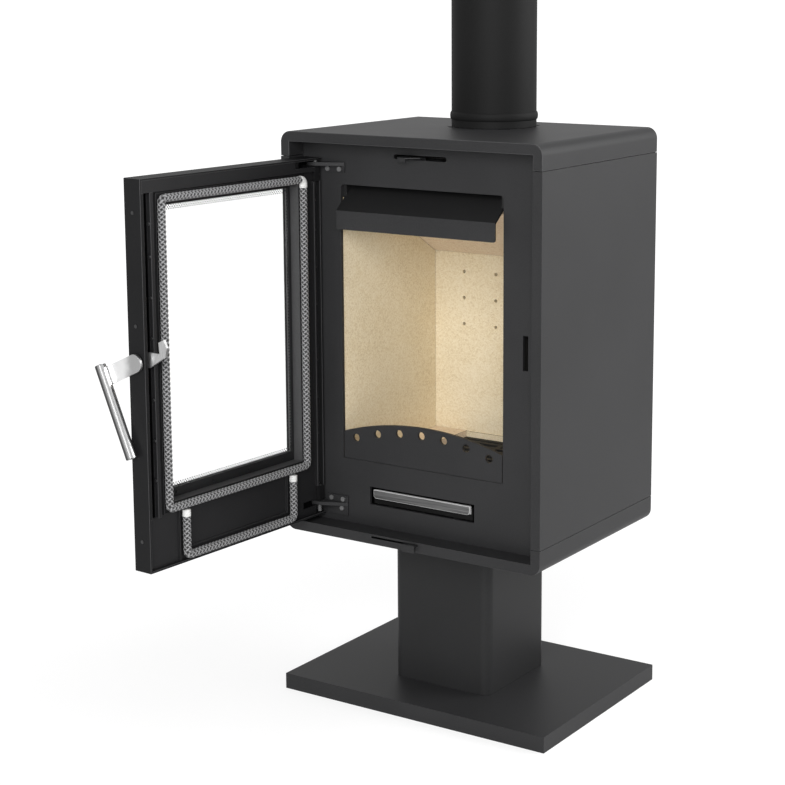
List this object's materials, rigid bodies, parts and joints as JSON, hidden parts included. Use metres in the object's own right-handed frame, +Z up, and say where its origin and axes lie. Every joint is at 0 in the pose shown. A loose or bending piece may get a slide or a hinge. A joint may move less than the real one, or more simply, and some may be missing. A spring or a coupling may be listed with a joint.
{
  "type": "wood stove",
  "caption": "Box-shaped steel wood stove on a square pedestal and base plate, with an open glass door, brick-lined firebox, ash drawer, air slides and a flue pipe.",
  "frame": {"origin": "middle of the base plate's underside, on the floor", "axes": "+Z up, the front faces -Y, +X to the right seen from the front"},
  "size_m": [0.5033, 0.6899, 1.1055],
  "materials": {
    "cast_iron": "matte",
    "charcoal_paint": "matte",
    "door_glass": "gloss",
    "door_inside_paint": "matte",
    "firebox_steel": "matte",
    "glass_fibre_rope": "matte",
    "stainless": "satin",
    "vermiculite": "matte",
    "white_tape": "matte",
    "zinc_steel": "satin"
  },
  "bodies": {
    "stove": {"base_plate": "charcoal_paint", "base_underplate": "charcoal_paint", "pedestal_column": "charcoal_paint", "column_bolts": "zinc_steel", "bottom_tray": "charcoal_paint", "side_panel_left": "charcoal_paint", "side_panel_right": "charcoal_paint", "top_lid": "charcoal_paint", "rear_panel": "charcoal_paint", "rear_panel_screws": "zinc_steel", "front_plate": "charcoal_paint", "firebox_side_left": "firebox_steel", "firebox_side_right": "firebox_steel", "firebox_back": "firebox_steel", "firebox_top": "firebox_steel", "firebox_floor": "firebox_steel", "ash_box": "firebox_steel", "firebox_feet": "firebox_steel", "airwash_duct": "firebox_steel", "deflector": "charcoal_paint", "lining_left": "vermiculite", "lining_right": "vermiculite", "lining_back": "vermiculite", "baffle_board": "vermiculite", "base_brick_left": "vermiculite", "base_brick_right": "vermiculite", "base_brick_front": "vermiculite", "base_brick_rear": "vermiculite", "grate": "cast_iron", "flue_collar": "firebox_steel", "flue_pipe": "charcoal_paint", "hinge_bracket_top": "charcoal_paint", "hinge_bracket_bottom": "charcoal_paint", "hinge_screws": "zinc_steel", "top_slide_rails": "firebox_steel", "bottom_slide_seat": "firebox_steel"},
    "door": {"door_shell": "charcoal_paint", "door_inner_frame": "door_inside_paint", "door_side_ribs": "door_inside_paint", "door_glass": "door_glass", "glass_gasket": "glass_fibre_rope", "glass_retainer": "door_inside_paint", "glass_screws": "zinc_steel", "door_rope": "glass_fibre_rope", "ash_door_rope": "glass_fibre_rope", "rope_tape": "white_tape", "channel_screws": "zinc_steel", "edge_screws": "zinc_steel", "door_hinge_lugs": "firebox_steel", "hinge_pins": "zinc_steel", "handle_bush": "zinc_steel"},
    "handle": {"handle_bar": "stainless", "handle_arm": "stainless", "latch_shaft": "stainless", "latch_hook": "stainless"},
    "top_air": {"top_air_slide": "charcoal_paint"},
    "bottom_air": {"bottom_air_slide": "charcoal_paint"},
    "ash_drawer": {"ash_pan": "firebox_steel", "ash_pan_handle": "stainless"},
    "fence": {"log_fence": "charcoal_paint"}
  },
  "joints": [
    {"name": "door_hinge", "type": "hinge", "parent": "stove", "child": "door", "pos_m": [-0.176, -0.145, 0.55575], "axis": [0, 0, 1], "range_deg": [0, 93.4]},
    {"name": "handle_pivot", "type": "hinge", "parent": "door", "child": "handle", "pos_m": [-0.2073, -0.50327, 0.5695], "axis": [0.0593, 0.9982, 0], "range_deg": [0, 45]},
    {"name": "top_air_slide", "type": "slide", "parent": "stove", "child": "top_air", "axis": [1, 0, 0], "range_m": [-0.005, 0.042]},
    {"name": "bottom_air_slide", "type": "slide", "parent": "stove", "child": "bottom_air", "axis": [1, 0, 0], "range_m": [-0.046, 0]},
    {"name": "ash_drawer", "type": "slide", "parent": "stove", "child": "ash_drawer", "axis": [0, 1, 0], "range_m": [-0.18, 0]},
    {"name": "log_fence_lift", "type": "slide", "parent": "stove", "child": "fence", "axis": [0, 0, 1], "range_m": [0, 0.05]}
  ]
}
